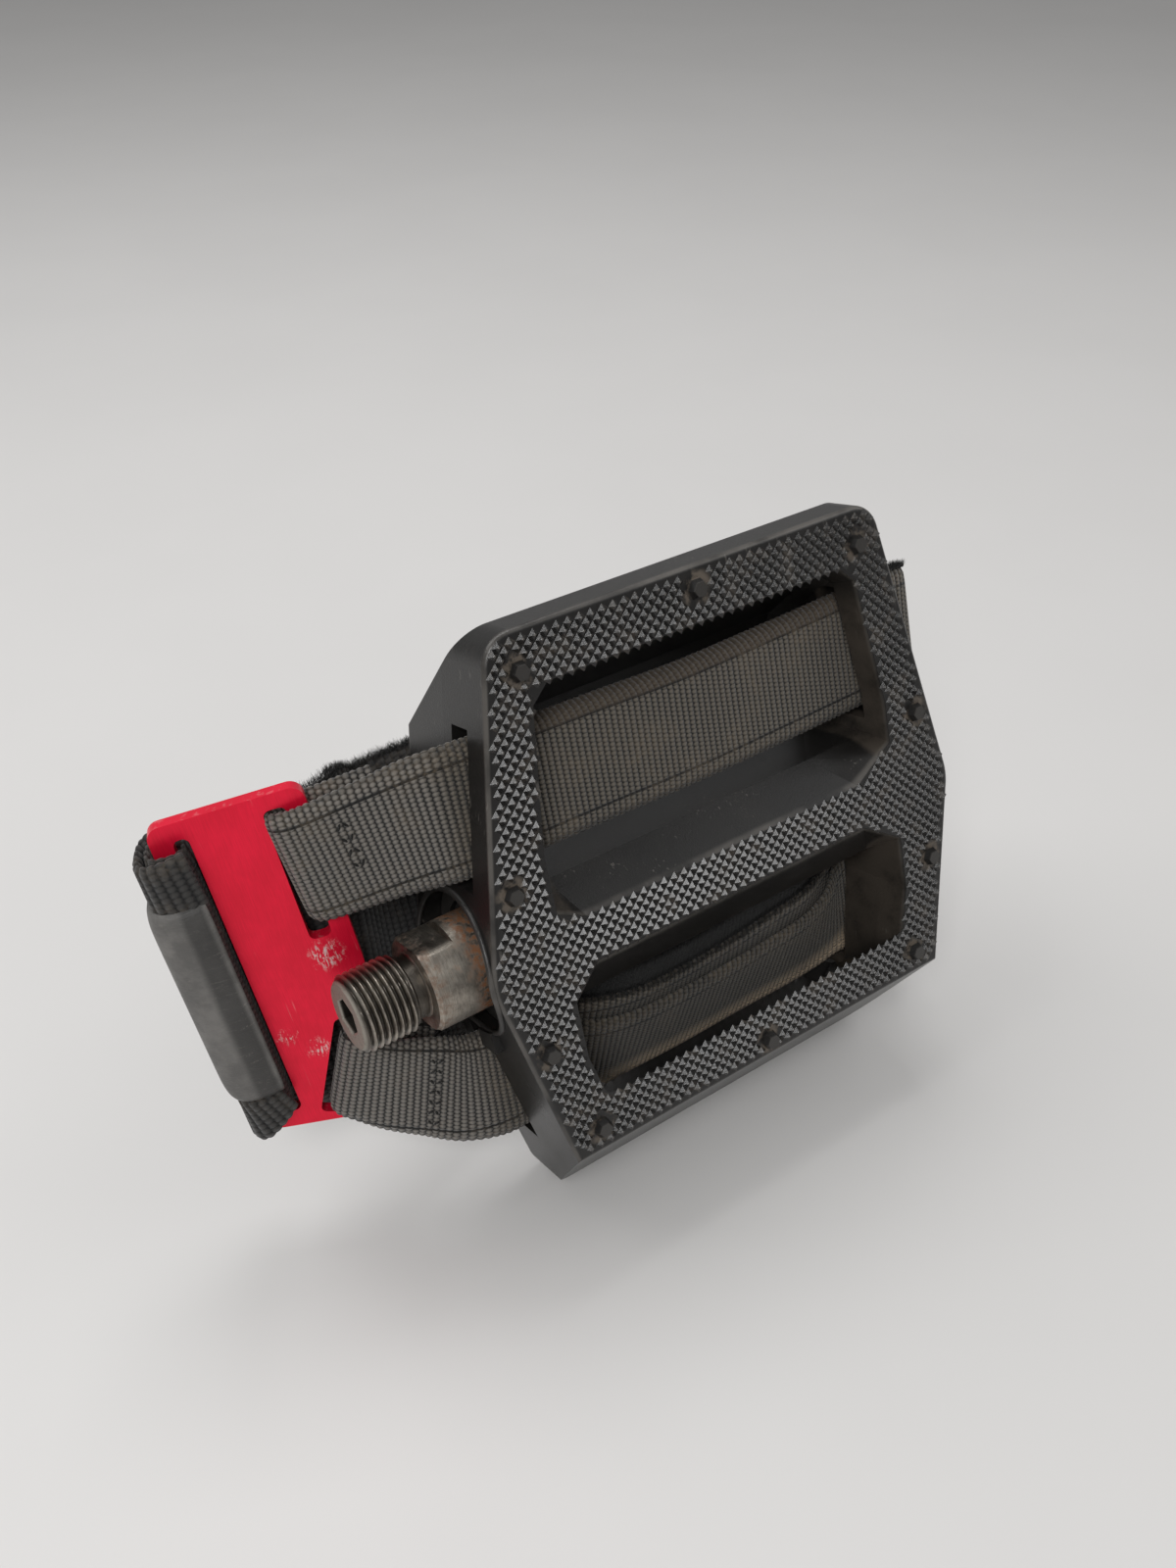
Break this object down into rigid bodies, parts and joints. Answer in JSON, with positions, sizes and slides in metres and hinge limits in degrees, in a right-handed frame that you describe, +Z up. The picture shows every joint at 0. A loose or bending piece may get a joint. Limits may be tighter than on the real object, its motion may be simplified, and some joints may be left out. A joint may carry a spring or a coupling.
{
  "type": "bicycle pedal with strap",
  "caption": "Moulded platform bicycle pedal on a threaded steel spindle, with woven foot straps looped through its windows and joined by a slotted metal plate.",
  "frame": {"origin": "on the spindle axis at the inner end of its crank thread", "axes": "+X along the spindle, away from the crank; +Z up with the pedal standing on its lower end, leaning back; -Y towards the face in view"},
  "size_m": [0.1573, 0.0794, 0.1194],
  "materials": {
    "platform": "satin moulded, worn",
    "cover": "matte moulded",
    "spindle_steel": "machined, light rust at the collar",
    "seal": "matte",
    "bush": "plain",
    "bearing_steel": "ground",
    "red_plate": "red anodised, scuffed edges",
    "webbing": "ribbed webbing, dusty",
    "foot_webbing": "wide webbing with a soft pile face",
    "sleeve_rubber": "semi-gloss",
    "hook_tape": "hook tape"
  },
  "bodies": {
    "spindle_group": {"spindle": "spindle_steel", "bearing_inner_race": "bearing_steel", "bearing_balls": "bearing_steel", "lock_washer": "bearing_steel", "lock_nut": "bearing_steel"},
    "platform_group": {"pedal_body": "platform", "bearing_cap": "cover", "end_cap": "cover", "seal_ring": "seal", "inner_bush": "bush", "bearing_outer_race": "bearing_steel", "strap_plate": "red_plate", "upper_strap": "webbing", "lower_strap": "webbing", "foot_strap": "foot_webbing", "grip_sleeve": "sleeve_rubber", "upper_hook_patch": "hook_tape", "lower_hook_patch": "hook_tape"}
  },
  "joints": [
    {"name": "platform_spin", "type": "hinge", "parent": "spindle_group", "child": "platform_group", "pos_m": [0, 0, 0], "axis": [1, 0, 0], "continuous": true}
  ]
}
